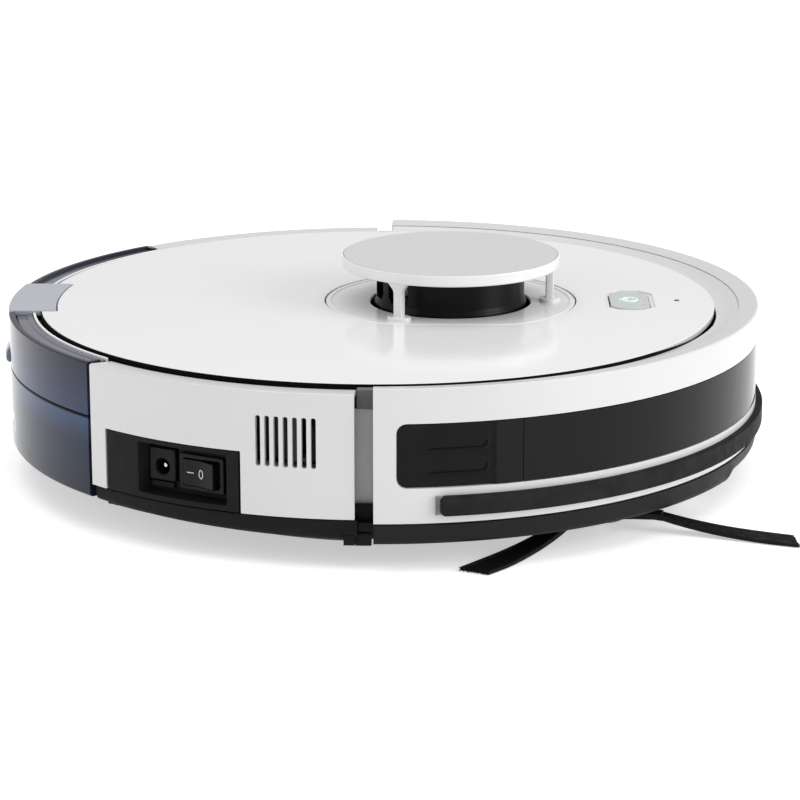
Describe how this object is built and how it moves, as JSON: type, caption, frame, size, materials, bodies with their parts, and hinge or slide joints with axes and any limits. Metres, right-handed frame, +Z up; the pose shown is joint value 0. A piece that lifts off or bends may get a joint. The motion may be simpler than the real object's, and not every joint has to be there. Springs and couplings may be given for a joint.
{
  "type": "robot vacuum cleaner",
  "caption": "Round robot vacuum cleaner with a laser turret on top, sprung front bumper, pull-out dustbin at the rear, side brush, drive wheels and swivel caster.",
  "frame": {"origin": "on the floor under the centre of the round body", "axes": "+X is the driving direction, +Y the cleaner's left, +Z up"},
  "size_m": [0.3387, 0.338, 0.0953],
  "materials": {
    "white_gloss": "polished white ABS",
    "black_plastic": "fine matt texture",
    "black_gloss": "polished black, infrared clear",
    "dark_plastic": "moulded, plain",
    "grey_plastic": "moulded, plain",
    "grey_inlay": "fine satin",
    "button_grey": "translucent satin",
    "light_pipe": "clear",
    "dark_lens": "polished infrared filter",
    "smoked_plastic": "smoked transparent polycarbonate",
    "silver_plastic": "satin silver-grey",
    "rubber": "soft matt",
    "brush_rubber": "soft matt",
    "bristle": "nylon bristle",
    "tyre": "moulded rubber",
    "steel": "nickel plated",
    "brass": "turned",
    "circuit_board": "solder mask",
    "battery_wrap": "shrink film over steel cans",
    "filter_paper": "pleated paper"
  },
  "bodies": {
    "chassis": {"base_plate": "black_plastic", "inner_wall": "grey_plastic", "top_deck": "black_plastic", "top_cover": "white_gloss", "front_trim": "white_gloss", "rear_shell_left": "white_gloss", "rear_shell_right": "white_gloss", "jack_panel": "black_plastic", "power_switch_body": "black_gloss", "dc_socket": "black_plastic", "dc_pin": "steel", "lidar_base": "dark_plastic", "lidar_motor": "steel", "lidar_belt": "rubber", "status_led": "light_pipe", "main_board": "circuit_board", "battery_pack": "battery_wrap", "battery_door": "black_plastic", "cliff_sensor_1": "dark_lens", "cliff_sensor_2": "dark_lens", "charge_contact_right": "steel", "charge_contact_left": "steel", "caster_socket": "dark_plastic", "brush_housing": "dark_plastic", "brush_guard": "dark_plastic", "brush_gearbox": "dark_plastic", "side_brush_gearbox": "dark_plastic", "fan_housing": "dark_plastic", "fan_motor": "steel"},
    "bumper": {"bumper_shell": "white_gloss", "bumper_window": "black_gloss", "bumper_strip": "rubber", "bumper_skirt": "black_plastic"},
    "rocker": {"power_rocker": "black_gloss"},
    "lidar_turret": {"lidar_drum": "black_plastic", "lidar_lens_1": "dark_lens", "lidar_lens_2": "dark_lens"},
    "lidar_drive": {"lidar_pulley": "brass"},
    "turret_guard": {"lidar_guard": "white_gloss", "lidar_guard_inlay": "grey_inlay"},
    "button": {"start_button": "button_grey"},
    "arm_right": {"wheel_arm_right": "dark_plastic"},
    "wheel_right": {"wheel_hub_right": "grey_plastic", "wheel_tyre_right": "tyre"},
    "arm_left": {"wheel_arm_left": "dark_plastic"},
    "wheel_left": {"wheel_hub_left": "grey_plastic", "wheel_tyre_left": "tyre"},
    "caster_swivel": {"caster_fork": "black_plastic"},
    "caster_roller": {"caster_wheel": "grey_plastic"},
    "brush_roller": {"main_brush": "brush_rubber"},
    "side_brush": {"side_brush_hub": "black_plastic", "side_brush_tuft_1": "bristle", "side_brush_tuft_2": "bristle", "side_brush_tuft_3": "bristle"},
    "dustbin": {"dustbin_tank": "smoked_plastic", "dustbin_lid": "smoked_plastic", "filter_frame": "dark_plastic", "dust_filter": "filter_paper"},
    "latch": {"bin_latch": "silver_plastic"},
    "impeller": {"fan_impeller": "black_plastic"}
  },
  "joints": [
    {"name": "bumper_press", "type": "slide", "parent": "chassis", "child": "bumper", "axis": [-1, 0, 0], "range_m": [0, 0.004], "stiffness_N_per_m": 400, "springref_m": -0.003},
    {"name": "rocker_tilt", "type": "hinge", "parent": "chassis", "child": "rocker", "pos_m": [-0.0669, -0.14163, 0.0342], "axis": [0, 0, 1], "range_deg": [0, 16]},
    {"name": "turret_spin", "type": "hinge", "parent": "chassis", "child": "lidar_turret", "pos_m": [0.0315, 0, 0.08], "axis": [0, 0, 1], "continuous": true},
    {"name": "pulley_spin", "type": "hinge", "parent": "chassis", "child": "lidar_drive", "pos_m": [-0.0095, 0, 0.068], "axis": [0, 0, 1], "continuous": true},
    {"name": "guard_press", "type": "slide", "parent": "chassis", "child": "turret_guard", "axis": [0, 0, -1], "range_m": [0, 0.001], "stiffness_N_per_m": 3000, "springref_m": -0.0005},
    {"name": "button_press", "type": "slide", "parent": "chassis", "child": "button", "axis": [0, 0, -1], "range_m": [0, 0.0008], "stiffness_N_per_m": 1500, "springref_m": -0.0005},
    {"name": "suspension_right", "type": "hinge", "parent": "chassis", "child": "arm_right", "pos_m": [0.042, -0.093, 0.04], "axis": [0, -1, 0], "range_deg": [0, 14], "stiffness_Nm_per_rad": 0.3, "springref_deg": 28.65},
    {"name": "wheel_spin_right", "type": "hinge", "parent": "arm_right", "child": "wheel_right", "pos_m": [0, -0.112, 0.031], "axis": [0, 1, 0], "continuous": true},
    {"name": "suspension_left", "type": "hinge", "parent": "chassis", "child": "arm_left", "pos_m": [0.042, 0.093, 0.04], "axis": [0, -1, 0], "range_deg": [0, 14], "stiffness_Nm_per_rad": 0.3, "springref_deg": 28.65},
    {"name": "wheel_spin_left", "type": "hinge", "parent": "arm_left", "child": "wheel_left", "pos_m": [0, 0.112, 0.031], "axis": [0, 1, 0], "continuous": true},
    {"name": "caster_turn", "type": "hinge", "parent": "chassis", "child": "caster_swivel", "pos_m": [0.122, 0, 0.02], "axis": [0, 0, 1], "continuous": true},
    {"name": "caster_roll", "type": "hinge", "parent": "caster_swivel", "child": "caster_roller", "pos_m": [0.116, 0, 0.011], "axis": [0, 1, 0], "continuous": true},
    {"name": "main_brush_spin", "type": "hinge", "parent": "chassis", "child": "brush_roller", "pos_m": [-0.043, 0, 0.0185], "axis": [0, 1, 0], "continuous": true},
    {"name": "side_brush_spin", "type": "hinge", "parent": "chassis", "child": "side_brush", "pos_m": [0.095, -0.104, 0.01], "axis": [0, 0, 1], "continuous": true},
    {"name": "dustbin_pull", "type": "slide", "parent": "chassis", "child": "dustbin", "axis": [-1, 0, 0], "range_m": [0, 0.12]},
    {"name": "latch_press", "type": "slide", "parent": "dustbin", "child": "latch", "axis": [0, 0, -1], "range_m": [0, 0.0025], "stiffness_N_per_m": 800, "springref_m": -0.001},
    {"name": "impeller_spin", "type": "hinge", "parent": "chassis", "child": "impeller", "pos_m": [-0.072, -0.098, 0.05], "axis": [0, 0, 1], "continuous": true}
  ],
  "couplings": [
    {"joint": "pulley_spin", "follows": "turret_spin", "ratio": 6.9268}
  ]
}
